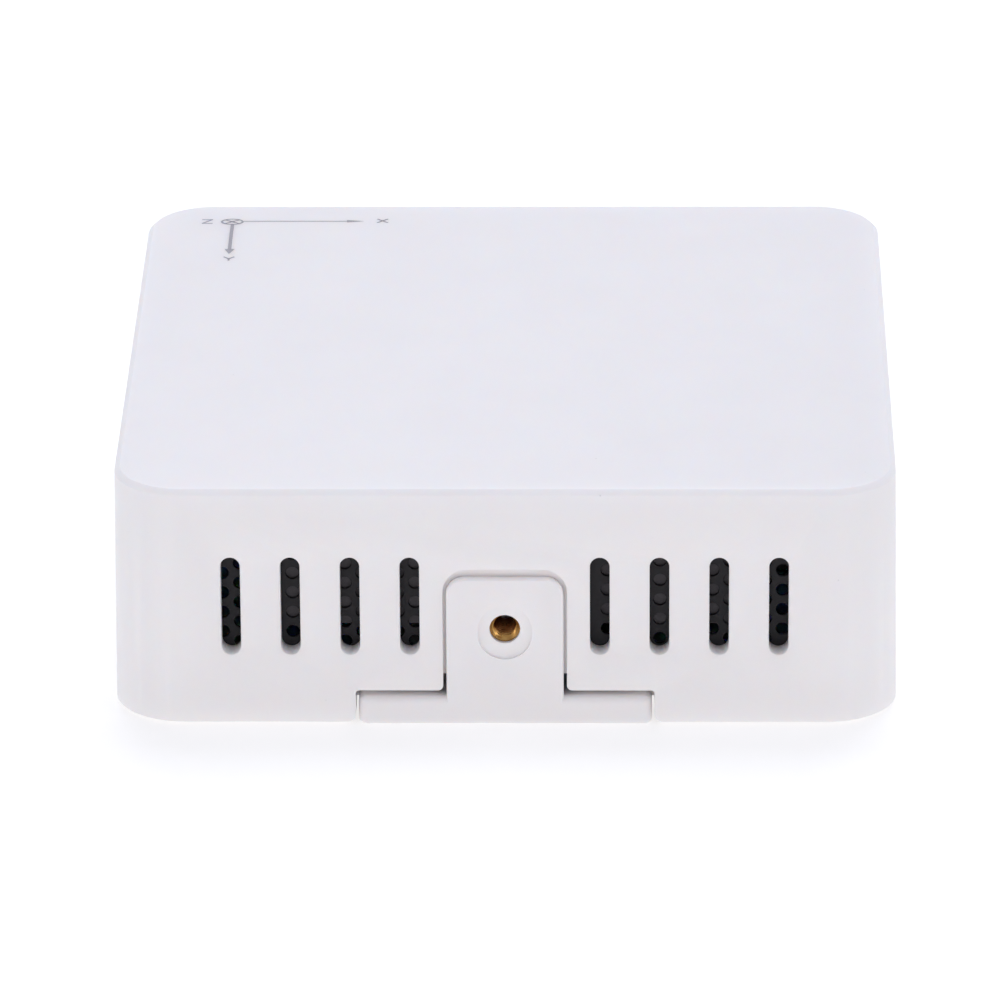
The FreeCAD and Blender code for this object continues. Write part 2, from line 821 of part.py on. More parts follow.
def cell_holder():
    """A holder under the board, with end walls and arms that wrap round the cell."""
    base_z = board_bottom_z - holder_base
    front_y = holder_front_y - contact_thickness - holder_wall
    back_y = holder_back_y + contact_thickness + holder_wall
    left_x = cell_x - holder_outer_radius
    right_x = cell_x + holder_outer_radius
    low_z = cell_z - holder_wrap
    parts = [
        block(left_x, right_x, front_y, back_y, base_z, board_bottom_z),
        block(left_x, right_x, front_y, front_y + holder_wall, low_z, board_bottom_z),
        block(left_x, right_x, back_y - holder_wall, back_y, low_z, board_bottom_z),
    ]
    for y in (cell_y - holder_arm_spread / 2, cell_y + holder_arm_spread / 2):
        y_low = y - holder_arm_length / 2
        y_high = y + holder_arm_length / 2
        ring = bar(cell_x, cell_z, y_low, y_high, holder_outer_radius)
        ring = ring.common(block(left_x, right_x, y_low, y_high, low_z, board_bottom_z))
        parts.append(ring)
    room = bar(cell_x, cell_z, holder_front_y, holder_back_y, holder_inner_radius)
    room = room.common(block(left_x, right_x, holder_front_y, holder_back_y, cell_z - cell_diameter, base_z))
    return joined(parts).cut(room)


def cell_contact(wall_y, tip_y):
    """A strip against the holder's end wall, with a bowed spring that reaches the cell."""
    side = math.copysign(1, tip_y - wall_y)
    top_z = board_bottom_z - holder_base
    ys = sorted([wall_y, wall_y - side * contact_thickness])
    strip = block(cell_x - contact_width / 2, cell_x + contact_width / 2, ys[0], ys[1],
                  top_z - contact_height, top_z)
    left_x = cell_x - contact_width / 2
    half = contact_spring_height / 2
    inner_tip_y = tip_y - side * contact_thickness
    outer_arc = Part.Arc(Vector(left_x, wall_y, cell_z + half), Vector(left_x, tip_y, cell_z),
                         Vector(left_x, wall_y, cell_z - half)).toShape()
    inner_half = half - contact_thickness
    inner_arc = Part.Arc(Vector(left_x, wall_y, cell_z - inner_half), Vector(left_x, inner_tip_y, cell_z),
                         Vector(left_x, wall_y, cell_z + inner_half)).toShape()
    low_end = Part.LineSegment(Vector(left_x, wall_y, cell_z - half),
                               Vector(left_x, wall_y, cell_z - inner_half)).toShape()
    high_end = Part.LineSegment(Vector(left_x, wall_y, cell_z + inner_half),
                                Vector(left_x, wall_y, cell_z + half)).toShape()
    spring = Part.Face(Part.Wire([outer_arc, low_end, inner_arc, high_end]))
    return joined([strip, spring.extrude(Vector(contact_width, 0, 0))])


def chip(x, y, width, depth, height):
    """A flat package under the board, with chamfered edges."""
    low_z = board_bottom_z - height
    body = centred_block(x, y, width, depth, low_z, board_bottom_z)
    return body.makeChamfer(chip_edge, edges_where(body, lambda p: near(p.z, low_z)))


def radio_module():
    low_z = board_bottom_z - radio_thickness
    return centred_block(radio_x, radio_y, radio_width, radio_depth, low_z, board_bottom_z)


def radio_shield():
    """A sheet-metal can over the radio module."""
    high_z = board_bottom_z - radio_thickness
    low_z = high_z - shield_height
    width = radio_width - 2 * shield_margin
    depth = radio_depth - 2 * shield_margin
    can = centred_block(radio_x, radio_y, width, depth, low_z, high_z)
    room = centred_block(radio_x, radio_y, width - 2 * shield_metal, depth - 2 * shield_metal,
                         low_z + shield_metal, high_z)
    return can.cut(room)


def radio_antenna():
    """A folded metal strip that stands off the board on two feet."""
    low_z = board_bottom_z - antenna_drop
    left_x = antenna_x - antenna_length / 2
    back_y = antenna_y + antenna_width / 2
    plate = centred_block(antenna_x, antenna_y, antenna_length, antenna_width, low_z, low_z + antenna_metal)
    feet = []
    for x in (left_x, left_x + 2 * antenna_foot_width):
        feet.append(block(x, x + antenna_foot_width, back_y - antenna_metal, back_y, low_z, board_bottom_z))
    return joined([plate] + feet)


def status_led():
    """A small lamp under the board, a base with a clear lens."""
    base_z = board_bottom_z - led_base_height
    base = centred_block(led_x, led_y, led_length, led_width, base_z, board_bottom_z)
    low_z = base_z - led_lens_height
    lens = centred_block(led_x, led_y, led_length - 2 * led_lens_inset, led_width, low_z, base_z)
    lens = lens.makeChamfer(led_lens_chamfer, edges_where(lens, lambda p: near(p.z, low_z)))
    return joined([base, lens])


def supply_capacitor():
    """A round can on a square base with two clipped corners."""
    radius = capacitor_diameter / 2
    base_z = board_bottom_z - capacitor_base_height
    can = post(capacitor_x, capacitor_y, board_bottom_z - capacitor_height, base_z, radius)
    half = radius + capacitor_base_margin
    clipped = half - capacitor_base_chamfer
    corners = [
        (-half, -half),
        (clipped, -half),
        (half, -clipped),
        (half, clipped),
        (clipped, half),
        (-half, half),
    ]
    base = outline([(capacitor_x + u, capacitor_y + v) for u, v in corners], flat(base_z))
    return joined([raised(base, capacitor_base_height), can])


def header_pin_places():
    places = []
    for column in range(header_pins_wide):
        for row in range(header_pins_long):
            x = header_x + (column - (header_pins_wide - 1) / 2) * header_pitch
            y = header_y + (row - (header_pins_long - 1) / 2) * header_pitch
            places.append((x, y))
    return places


def header_body():
    """The strip that carries the programming pins."""
    low_z = board_bottom_z - header_height
    width = header_pins_wide * header_pitch
    depth = header_pins_long * header_pitch
    body = centred_block(header_x, header_y, width, depth, low_z, board_bottom_z)
    holes = [centred_block(x, y, header_pin_side, header_pin_side, low_z, board_bottom_z)
             for x, y in header_pin_places()]
    return body.cut(holes)


def header_pins():
    low_z = board_bottom_z - header_height - header_pin_reach
    return Part.makeCompound([
        centred_block(x, y, header_pin_side, header_pin_side, low_z, board_bottom_z)
        for x, y in header_pin_places()
    ])


def switch_body():
    """The housing of the reset switch, hollow where the button moves."""
    low_z = board_bottom_z - switch_height
    body = centred_block(switch_x, switch_y, switch_side, switch_side, low_z, board_bottom_z)
    skin_z = low_z + button_skin
    mouth = button_side + 2 * button_gap
    mouth_room = centred_block(switch_x, switch_y, mouth, mouth, low_z, skin_z)
    room_height = button_seat_gap + button_collar_height + button_travel + button_gap
    room = mouth + 2 * button_collar
    collar_room = centred_block(switch_x, switch_y, room, room, skin_z, skin_z + room_height)
    return body.cut([mouth_room, collar_room])


def reset_button():
    """The plunger, held in the switch by its collar."""
    low_z = board_bottom_z - switch_height - button_reach
    collar_z = board_bottom_z - switch_height + button_skin + button_seat_gap
    plunger = centred_block(switch_x, switch_y, button_side, button_side, low_z, collar_z)
    collar_side = button_side + 2 * button_collar
    collar = centred_block(switch_x, switch_y, collar_side, collar_side,
                           collar_z, collar_z + button_collar_height)
    return joined([plunger, collar])


def all_parts():
    """Each piece of the sensor under its own name."""
    return {
        "front_housing": front_housing(),
        "rear_cover": rear_cover(),
        "cover_screws": cover_screws(),
        "brass_insert": brass_insert(),
        "left_vent_screen": vent_screen(-screen_outer_x, -screen_inner_x, left_hole_x, left_hole_z),
        "right_vent_screen": vent_screen(screen_inner_x, screen_outer_x, right_hole_x, right_hole_z),
        "left_vent_membrane": vent_membrane(-1),
        "right_vent_membrane": vent_membrane(1),
        "mounting_bracket": mounting_bracket(),
        "main_board": main_board(),
        "lithium_cell": lithium_cell(),
        "cell_holder": cell_holder(),
        "positive_contact": cell_contact(holder_front_y, cell_front_y - cell_button_height),
        "negative_contact": cell_contact(holder_back_y, cell_back_y),
        "radio_module": radio_module(),
        "radio_shield": radio_shield(),
        "radio_antenna": radio_antenna(),
        "microcontroller": chip(controller_x, controller_y, controller_side, controller_side,
                                controller_height),
        "tilt_sensor_chip": chip(tilt_chip_x, tilt_chip_y, tilt_chip_side, tilt_chip_side,
                                 tilt_chip_height),
        "climate_sensor": chip(climate_x, climate_y, climate_side, climate_side, climate_height),
        "crystal_can": chip(crystal_x, crystal_y, crystal_length, crystal_width, crystal_height),
        "status_led": status_led(),
        "supply_capacitor": supply_capacitor(),
        "programming_header": header_body(),
        "programming_pins": header_pins(),
        "reset_switch_body": switch_body(),
        "reset_button": reset_button(),
    }


os.makedirs("parts", exist_ok=True)
for node, shape in all_parts().items():
    shape.exportStep("parts/" + node + ".step")
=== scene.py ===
import json
import math

import bmesh
import bpy
from mathutils import Matrix, Vector


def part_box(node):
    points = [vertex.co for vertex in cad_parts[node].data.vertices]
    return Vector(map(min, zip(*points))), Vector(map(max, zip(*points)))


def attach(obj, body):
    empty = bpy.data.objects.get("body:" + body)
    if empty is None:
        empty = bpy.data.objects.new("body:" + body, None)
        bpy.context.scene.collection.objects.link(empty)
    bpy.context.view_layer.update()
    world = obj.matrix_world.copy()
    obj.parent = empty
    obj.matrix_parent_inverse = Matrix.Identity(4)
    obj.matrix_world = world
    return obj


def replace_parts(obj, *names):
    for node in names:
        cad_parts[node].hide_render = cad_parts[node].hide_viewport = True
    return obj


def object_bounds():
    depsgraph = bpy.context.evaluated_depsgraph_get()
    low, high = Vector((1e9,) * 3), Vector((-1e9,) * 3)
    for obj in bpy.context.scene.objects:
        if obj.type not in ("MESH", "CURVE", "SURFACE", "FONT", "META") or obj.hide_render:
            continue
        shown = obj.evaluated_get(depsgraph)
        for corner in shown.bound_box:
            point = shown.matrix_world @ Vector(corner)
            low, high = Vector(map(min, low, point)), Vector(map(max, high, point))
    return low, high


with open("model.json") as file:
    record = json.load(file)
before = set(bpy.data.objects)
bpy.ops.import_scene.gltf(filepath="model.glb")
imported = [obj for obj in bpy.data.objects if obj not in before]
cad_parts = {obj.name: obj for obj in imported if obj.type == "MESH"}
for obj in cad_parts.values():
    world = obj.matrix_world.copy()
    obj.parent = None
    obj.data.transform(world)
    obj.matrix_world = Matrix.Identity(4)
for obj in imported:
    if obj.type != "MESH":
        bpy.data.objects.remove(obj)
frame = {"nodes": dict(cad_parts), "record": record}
cad_low, cad_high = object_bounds()

# Lengths of pieces and finishes are in millimetres, and become the scene's metres by MM.
# The floor, the lamps and the camera's distance are in metres.
MM = 0.001
nodes = frame["nodes"]
scene = bpy.context.scene


def mm(*values):
    """A point given in millimetres, in the scene's metres."""
    return Vector([value * MM for value in values])


# Shader nodes

# Nearly all values of a noise lie between these two.
NOISE_LOW = 0.3
NOISE_HIGH = 0.7


def new_material(name):
    """A new material, with its node tree and its shader."""
    material = bpy.data.materials.new(name)
    material.use_nodes = True
    tree = material.node_tree
    return material, tree, tree.nodes["Principled BSDF"]


def add_node(tree, kind, **settings):
    """A new node of a kind, with settings such as its operation."""
    node = tree.nodes.new(kind)
    for key, value in settings.items():
        setattr(node, key, value)
    return node


def place(tree):
    """The texture coordinates, in metres on the object itself."""
    return add_node(tree, "ShaderNodeTexCoord").outputs["Object"]


def noise(tree, coordinates, scale_mm, detail=3.0, roughness=0.5):
    """Noise whose features are about scale_mm across."""
    node = add_node(tree, "ShaderNodeTexNoise")
    node.inputs["Scale"].default_value = 1.0 / (scale_mm * MM)
    node.inputs["Detail"].default_value = detail
    node.inputs["Roughness"].default_value = roughness
    tree.links.new(coordinates, node.inputs["Vector"])
    return node.outputs["Fac"]


def ramp(tree, source, stops):
    """A colour ramp with stops (position, colour)."""
    node = add_node(tree, "ShaderNodeValToRGB")
    elements = node.color_ramp.elements
    while len(elements) < len(stops):
        elements.new(0.5)
    for element, (position, colour) in zip(elements, stops):
        element.position = position
        element.color = (*colour, 1.0)
    tree.links.new(source, node.inputs["Fac"])
    return node.outputs["Color"]


def blend(tree, factor, first, second, mode="MIX"):
    """Mixes two colours, each a socket or a tuple."""
    node = add_node(tree, "ShaderNodeMix", data_type="RGBA", blend_type=mode)
    for socket, value in (("A", first), ("B", second)):
        target = [s for s in node.inputs if s.name == socket and s.type == "RGBA"][0]
        if isinstance(value, tuple):
            target.default_value = (*value, 1.0)
        else:
            tree.links.new(value, target)
    factor_socket = node.inputs[0]
    if isinstance(factor, float):
        factor_socket.default_value = factor
    else:
        tree.links.new(factor, factor_socket)
    return [s for s in node.outputs if s.type == "RGBA"][0]


def spread(tree, source, low, high, from_low=0.0, from_high=1.0):
    """Maps a value onto another range."""
    node = add_node(tree, "ShaderNodeMapRange")
    node.inputs["From Min"].default_value = from_low
    node.inputs["From Max"].default_value = from_high
    node.inputs["To Min"].default_value = low
    node.inputs["To Max"].default_value = high
    tree.links.new(source, node.inputs["Value"])
    return node.outputs["Result"]


def vary(tree, noise_value, low, high):
    """Maps a noise onto the range from low to high."""
    return spread(tree, noise_value, low, high, NOISE_LOW, NOISE_HIGH)


def bump(tree, height, strength, distance_mm):
    """Small relief from a height of 0 to 1."""
    node = add_node(tree, "ShaderNodeBump")
    node.inputs["Strength"].default_value = strength
    node.inputs["Distance"].default_value = distance_mm * MM
    tree.links.new(height, node.inputs["Height"])
    return node.outputs["Normal"]


def shade(colour, factor):
    """A colour made darker or lighter by a factor."""
    return tuple(channel * factor for channel in colour)


# Finishes

RELIEF_MM = 0.02

MOTTLE_MM = 9.0
MOTTLE_SHADE = 0.015
MOULD_GRAIN_MM = 0.16
MOULD_GRAIN_SHARE = 0.35
SPECK_SPACING_MM = 6.0
SPECK_SHARE = 0.35
SPECK_SHADE = 0.55
SPECK_CORE = 0.010
SPECK_RIM = 0.022
MOULD_GLOSS_MM = 5.0
PLASTIC_IOR = 1.46
SCATTER_WEIGHT = 0.8
SCATTER_COLOUR = (0.7, 0.85, 1.0)


def moulded_plastic(name, colour, roughness, scatter_mm, grain=0.10):
    """Plastic with a fine moulded grain, faint mottling and a few tiny dark specks."""
    material, tree, shader = new_material(name)
    coordinates = place(tree)
    mottle = ramp(tree, noise(tree, coordinates, MOTTLE_MM, 4.0),
                  [(0.35, shade(colour, 1.0 - MOTTLE_SHADE)), (0.65, colour)])
    fine = noise(tree, coordinates, MOULD_GRAIN_MM, 2.0)
    darker = shade(colour, 1.0 - 2 * MOTTLE_SHADE)
    grained = ramp(tree, fine, [(NOISE_LOW, darker), (NOISE_HIGH, colour)])
    toned = blend(tree, MOULD_GRAIN_SHARE, mottle, grained)
    specks = add_node(tree, "ShaderNodeTexVoronoi", feature="F1")
    specks.inputs["Scale"].default_value = 1.0 / (SPECK_SPACING_MM * MM)
    tree.links.new(coordinates, specks.inputs["Vector"])
    mask = spread(tree, specks.outputs["Distance"], SPECK_SHARE, 0.0, SPECK_CORE, SPECK_RIM)
    tree.links.new(blend(tree, mask, toned, shade(colour, SPECK_SHADE)), shader.inputs["Base Color"])
    gloss = noise(tree, coordinates, MOULD_GLOSS_MM)
    tree.links.new(vary(tree, gloss, roughness - 0.04, roughness + 0.05), shader.inputs["Roughness"])
    tree.links.new(bump(tree, fine, grain, RELIEF_MM), shader.inputs["Normal"])
    shader.inputs["IOR"].default_value = PLASTIC_IOR
    shader.inputs["Subsurface Weight"].default_value = SCATTER_WEIGHT
    shader.inputs["Subsurface Radius"].default_value = SCATTER_COLOUR
    shader.inputs["Subsurface Scale"].default_value = scatter_mm * MM
    return material


WEAR_MM = 1.3
POLISH_MM = 0.6
BARE_GRAIN_MM = 0.25
# The wave texture runs through 20 radians per unit, so its lines are 2 pi times this apart.
TOOL_LINE_MM = 0.12
WAVE_RADIANS = 20
METAL_RELIEF = 0.12


def metal(name, colour, roughness, worn, line_axis=None):
    """Bare metal with uneven wear, and with tool lines along an axis or else a fine grain."""
    material, tree, shader = new_material(name)
    coordinates = place(tree)
    wear = noise(tree, coordinates, WEAR_MM, 5.0)
    tree.links.new(ramp(tree, wear, [(NOISE_LOW, worn), (NOISE_HIGH, colour)]), shader.inputs["Base Color"])
    shader.inputs["Metallic"].default_value = 1.0
    polish = noise(tree, coordinates, POLISH_MM)
    tree.links.new(vary(tree, polish, roughness * 0.75, roughness * 1.3), shader.inputs["Roughness"])
    if line_axis:
        lines = add_node(tree, "ShaderNodeTexWave", wave_type="BANDS", bands_direction=line_axis)
        lines.inputs["Scale"].default_value = 1.0 / (TOOL_LINE_MM * WAVE_RADIANS * MM)
        lines.inputs["Distortion"].default_value = 1.5
        lines.inputs["Detail"].default_value = 2.0
        tree.links.new(coordinates, lines.inputs["Vector"])
        height = lines.outputs["Fac"]
    else:
        height = noise(tree, coordinates, BARE_GRAIN_MM)
    tree.links.new(bump(tree, height, METAL_RELIEF, RELIEF_MM), shader.inputs["Normal"])
    return material


PAINT_RELIEF = 0.15


def painted(name, colour, roughness, grain_mm, lighter=1.6):
    """A dull surface with a coloured grain, such as paint, resin or a plain moulded part."""
    material, tree, shader = new_material(name)
    grain = noise(tree, place(tree), grain_mm, 3.0)
    tree.links.new(ramp(tree, grain, [(0.35, colour), (0.75, shade(colour, lighter))]),
                   shader.inputs["Base Color"])
    tree.links.new(vary(tree, grain, roughness - 0.05, roughness + 0.08), shader.inputs["Roughness"])
    tree.links.new(bump(tree, grain, PAINT_RELIEF, RELIEF_MM), shader.inputs["Normal"])
    return material


TRACK_OFFSET = 0.37
TRACK_WIDTH = 0.06
TRACK_LENGTH = 2.6
TRACK_SPACING = 0.6
TRACK_RELIEF_MM = 0.03
WEAVE_MM = 0.5
WEAVE_SHARE = 0.25


def circuit_board(name, mask, track, copper_pitch_mm):
    """Solder resist over copper tracks that run in short straight lengths."""
    material, tree, shader = new_material(name)
    coordinates = place(tree)
    bricks = add_node(tree, "ShaderNodeTexBrick", offset=TRACK_OFFSET)
    bricks.inputs["Scale"].default_value = 1.0 / (copper_pitch_mm * MM)
    bricks.inputs["Mortar Size"].default_value = TRACK_WIDTH
    bricks.inputs["Color1"].default_value = (*mask, 1.0)
    bricks.inputs["Color2"].default_value = (*shade(mask, 1.25), 1.0)
    bricks.inputs["Mortar"].default_value = (*track, 1.0)
    bricks.inputs["Brick Width"].default_value = TRACK_LENGTH
    bricks.inputs["Row Height"].default_value = TRACK_SPACING
    tree.links.new(coordinates, bricks.inputs["Vector"])
    weave = noise(tree, coordinates, WEAVE_MM)
    woven = ramp(tree, weave, [(NOISE_LOW, mask), (NOISE_HIGH, track)])
    tree.links.new(blend(tree, WEAVE_SHARE, bricks.outputs["Color"], woven), shader.inputs["Base Color"])
    tree.links.new(vary(tree, weave, 0.22, 0.36), shader.inputs["Roughness"])
    tree.links.new(bump(tree, bricks.outputs["Fac"], 0.3, TRACK_RELIEF_MM), shader.inputs["Normal"])
    return material


FIBRE_MM = 0.12
FIBRE_RELIEF_MM = 0.03


def breather_cloth(name, colour):
    """A thin felt of fine crossing fibres."""
    material, tree, shader = new_material(name)
    fibres = noise(tree, place(tree), FIBRE_MM, 4.0, 0.7)
    felt = ramp(tree, fibres, [(0.35, shade(colour, 0.72)), (0.62, colour)])
    tree.links.new(felt, shader.inputs["Base Color"])
    shader.inputs["Roughness"].default_value = 0.9
    shader.inputs["Sheen Weight"].default_value = 0.2
    tree.links.new(bump(tree, fibres, 0.5, FIBRE_RELIEF_MM), shader.inputs["Normal"])
    return material


INK_PATCH_MM = 0.2
INK_RELIEF_MM = 0.01


def printed_ink(name, colour):
    """Thin pad-printed ink, slightly uneven."""
    material, tree, shader = new_material(name)
    cover = noise(tree, place(tree), INK_PATCH_MM, 3.0)
    uneven = ramp(tree, cover, [(0.3, shade(colour, 1.18)), (0.6, colour)])
    tree.links.new(uneven, shader.inputs["Base Color"])
    shader.inputs["Roughness"].default_value = 0.5
    tree.links.new(bump(tree, cover, 0.1, INK_RELIEF_MM), shader.inputs["Normal"])
    return material


WHITE = (0.93, 0.90, 0.895)
finishes = {
    "casing": moulded_plastic("casing_plastic", WHITE, 0.42, 1.6),
    "bracket": moulded_plastic("bracket_plastic", shade(WHITE, 0.995), 0.40, 0.35),
    "cover": moulded_plastic("cover_plastic", shade(WHITE, 0.98), 0.36, 1.0, grain=0.05),
    "steel_screws": metal("zinc_plate", (0.62, 0.62, 0.63), 0.30, (0.48, 0.47, 0.45)),
    "brass_insert": metal("turned_brass", (0.74, 0.47, 0.16), 0.33, (0.54, 0.31, 0.09), "Y"),
    "vent_screen": painted("screen_paint", (0.0048, 0.0038, 0.0054), 0.66, 0.35),
    # The breather cloth is coloured far darker than its own pale grey: painted shade for the dim slots
    # behind the screens.
    "vent_membrane": breather_cloth("breather_cloth", (0.092, 0.086, 0.092)),
    "board": circuit_board("green_board", (0.012, 0.10, 0.045), (0.04, 0.20, 0.08), 2.0),
    "chips": painted("chip_resin", (0.018, 0.018, 0.020), 0.50, 0.10),
    "cell": painted("cell_sleeve", (0.05, 0.16, 0.07), 0.30, 2.5, 1.3),
    "holder": painted("holder_plastic", (0.016, 0.016, 0.018), 0.45, 0.3),
    "spring_metal": metal("nickel_plate", (0.66, 0.64, 0.60), 0.22, (0.55, 0.52, 0.47), "Z"),
    "radio_board": circuit_board("blue_board", (0.010, 0.035, 0.11), (0.03, 0.08, 0.2), 1.2),
    "shield": metal("tinned_sheet", (0.70, 0.70, 0.71), 0.25, (0.60, 0.60, 0.60)),
    "capacitor": metal("capacitor_can", (0.60, 0.60, 0.62), 0.28, (0.50, 0.50, 0.52), "Z"),
    "lamp": painted("lamp_resin", (0.62, 0.63, 0.56), 0.12, 0.8, 1.2),
    "header": painted("header_plastic", (0.015, 0.015, 0.015), 0.42, 0.2),
    "pins": metal("gold_plate", (0.90, 0.66, 0.28), 0.18, (0.78, 0.52, 0.18), "Z"),
    "button": painted("button_plastic", (0.50, 0.03, 0.025), 0.32, 0.5, 1.15),
    "axis_print": printed_ink("axis_ink", (0.37, 0.355, 0.385)),
}

for row in frame["record"]["subparts"]:
    materials = nodes[row["node"]].data.materials
    materials.clear()
    materials.append(finishes[row["material_slot"]])


# Fine roundings on the mouldings

ROUNDINGS = {"front_housing": 0.22, "mounting_bracket": 0.15, "rear_cover": 0.2}
ROUNDING_SEGMENTS = 3
ROUNDING_ANGLE = 32.0
WELD_DISTANCE = 0.002
FLATTEN_ANGLE = 0.6


def soften(piece, width_mm):
    """Rounds the sharp edges of a moulding, after its flat areas are freed of needless edges."""
    weld = piece.modifiers.new("weld", "WELD")
    weld.merge_threshold = WELD_DISTANCE * MM
    flatten = piece.modifiers.new("flatten", "DECIMATE")
    flatten.decimate_type = "DISSOLVE"
    flatten.angle_limit = math.radians(FLATTEN_ANGLE)
    rounding = piece.modifiers.new("rounding", "BEVEL")
    rounding.width = width_mm * MM
    rounding.segments = ROUNDING_SEGMENTS
    rounding.limit_method = "ANGLE"
    rounding.angle_limit = math.radians(ROUNDING_ANGLE)
    rounding.harden_normals = True
    rounding.use_clamp_overlap = True
    for polygon in piece.data.polygons:
        polygon.use_smooth = True


for node, width_mm in ROUNDINGS.items():
    soften(nodes[node], width_mm)


# New pieces

def new_piece(name, mesh, body, slot):
    """A visible piece that rides on a body, with the finish of its slot."""
    piece = bpy.data.objects.new(name, mesh)
    scene.collection.objects.link(piece)
    mesh.materials.clear()
    mesh.materials.append(finishes[slot])
    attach(piece, body)
    return piece


def mesh_from(name, vertices, faces):
    """A flat-shaded mesh from points in metres."""
    mesh = bpy.data.meshes.new(name)
    mesh.from_pydata(vertices, [], faces)
    mesh.update()
    return mesh


# Vent screens with round holes

SCREEN_PITCH_X = 1.955
SCREEN_PITCH_Z = 2.37
SCREEN_HOLE_RADIUS = 0.75
SCREEN_RIM = 0.45
SCREEN_HOLE_STEPS = 20
SCREEN_EDGE = 0.04
SCREEN_COLUMNS = range(-15, 16)
SCREEN_ROWS = range(-9, 9)
# The (x, z) middle of the hole from which each screen's columns and rows are counted
SCREEN_FIRST_HOLES = {"left": (-31.55, 17.4), "right": (31.0, 17.75)}


def screen_holes(first_x, first_z, low, high):
    """Middles (x, z) of the holes in metres, in offset columns, with a rim left free round the sheet."""
    reach = SCREEN_HOLE_RADIUS + SCREEN_RIM
    holes = []
    for column in SCREEN_COLUMNS:
        x = first_x + column * SCREEN_PITCH_X
        for row in SCREEN_ROWS:
            z = first_z + row * SCREEN_PITCH_Z + (column % 2) * SCREEN_PITCH_Z / 2
            if (low.x / MM + reach <= x <= high.x / MM - reach
                    and low.z / MM + reach <= z <= high.z / MM - reach):
                holes.append((x * MM, z * MM))
    return holes


def sheet_with_holes(name, low, high, holes):
    """An upright sheet from low to high (metres), with round holes at the (x, z) places."""
    curve = bpy.data.curves.new(name, "CURVE")
    curve.dimensions = "2D"
    curve.fill_mode = "BOTH"
    rounded = SCREEN_EDGE * MM
    curve.extrude = (high.y - low.y) / 2 - rounded
    curve.bevel_depth = rounded
    curve.offset = -rounded
    radius = SCREEN_HOLE_RADIUS * MM
    turns = [2 * math.pi * step / SCREEN_HOLE_STEPS for step in range(SCREEN_HOLE_STEPS)]
    outlines = [[(low.x, low.z), (high.x, low.z), (high.x, high.z), (low.x, high.z)]]
    for x, z in holes:
        outlines.append([(x + radius * math.cos(turn), z + radius * math.sin(turn)) for turn in turns])
    for points in outlines:
        spline = curve.splines.new("POLY")
        spline.points.add(len(points) - 1)
        for point, (u, v) in zip(spline.points, points):
            point.co = (u, v, 0.0, 1.0)
        spline.use_cyclic_u = True
    holder = bpy.data.objects.new(name, curve)
    scene.collection.objects.link(holder)
    bpy.context.view_layer.update()
    mesh = bpy.data.meshes.new_from_object(holder.evaluated_get(bpy.context.evaluated_depsgraph_get()))
    bpy.data.objects.remove(holder)
    mesh.transform(Matrix.Translation((0, (low.y + high.y) / 2, 0)) @ Matrix.Rotation(math.pi / 2, 4, "X"))
    mesh.update()
    return mesh


for side, (first_x, first_z) in SCREEN_FIRST_HOLES.items():
    node = side + "_vent_screen"
    low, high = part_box(node)
    name = side + "_perforated_sheet"
    sheet = sheet_with_holes(name, low, high, screen_holes(first_x, first_z, low, high))
    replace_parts(new_piece(name, sheet, "casing", "vent_screen"), node)


# Threaded brass insert

THREAD_PITCH = 0.5
THREAD_CREST = 1.25
THREAD_ROOT = 1.5
THREAD_STEPS = 6
# The flanks are this steep, so that the crests and the roots come out flat.
FLANK_SLOPE = 1.5
FLANK_START = 0.25
INSERT_MOUTH = 1.65
INSERT_OUTER = 2.1
INSERT_CHAMFER = 0.12
INSERT_POINTS = 56
OUTSIDE_STEPS = 40
GROOVE_START = 2.35
GROOVE_END = 2.95
GROOVE_DEPTH = 0.35
KNURLED_BANDS = ((0.35, 2.2), (3.1, 5.1))
KNURL_DEPTH = 0.09


def insert_mesh(name, low, high):
    """A turned sleeve along Y with a real thread inside and two knurled bands outside."""
    centre = (low + high) / 2
    length = (high.y - low.y) / MM
    rings = []
    mouth_depth = INSERT_MOUTH - THREAD_CREST
    count = int(length / THREAD_PITCH * THREAD_STEPS)
    for index in range(count + 1):
        y = length * index / count
        ring = []
        for step in range(INSERT_POINTS):
            phase = (y / THREAD_PITCH - step / INSERT_POINTS) % 1.0
            depth = min(1.0, max(0.0, FLANK_SLOPE * abs(2 * phase - 1) - FLANK_START))
            radius = THREAD_CREST + (THREAD_ROOT - THREAD_CREST) * depth
            ring.append((max(radius, INSERT_MOUTH - y if y < mouth_depth else 0.0), y))
        rings.append(ring)
    outside = [(length, INSERT_OUTER - INSERT_CHAMFER), (length - INSERT_CHAMFER, INSERT_OUTER)]
    for index in range(1, OUTSIDE_STEPS):
        y = length - INSERT_CHAMFER - (length - 2 * INSERT_CHAMFER) * index / OUTSIDE_STEPS
        outside.append((y, INSERT_OUTER - (GROOVE_DEPTH if GROOVE_START < y < GROOVE_END else 0.0)))
    outside += [(INSERT_CHAMFER, INSERT_OUTER), (0.0, INSERT_OUTER - INSERT_CHAMFER)]
    for y, radius in outside:
        knurl = KNURL_DEPTH if any(start < y < end for start, end in KNURLED_BANDS) else 0.0
        rings.append([(radius - (knurl if step % 2 else 0.0), y) for step in range(INSERT_POINTS)])
    vertices = []
    for ring in rings:
        for step, (radius, y) in enumerate(ring):
            turn = 2 * math.pi * step / INSERT_POINTS
            vertices.append((centre.x + radius * MM * math.cos(turn), low.y + y * MM,
                             centre.z + radius * MM * math.sin(turn)))
    faces = []
    for row in range(len(rings)):
        after = (row + 1) % len(rings)
        for step in range(INSERT_POINTS):
            beside = (step + 1) % INSERT_POINTS
            faces.append((row * INSERT_POINTS + step, after * INSERT_POINTS + step,
                          after * INSERT_POINTS + beside, row * INSERT_POINTS + beside))
    return mesh_from(name, vertices, faces)


insert_low, insert_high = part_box("brass_insert")
insert = insert_mesh("threaded_insert", insert_low, insert_high)
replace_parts(new_piece("threaded_insert", insert, "casing", "brass_insert"), "brass_insert")
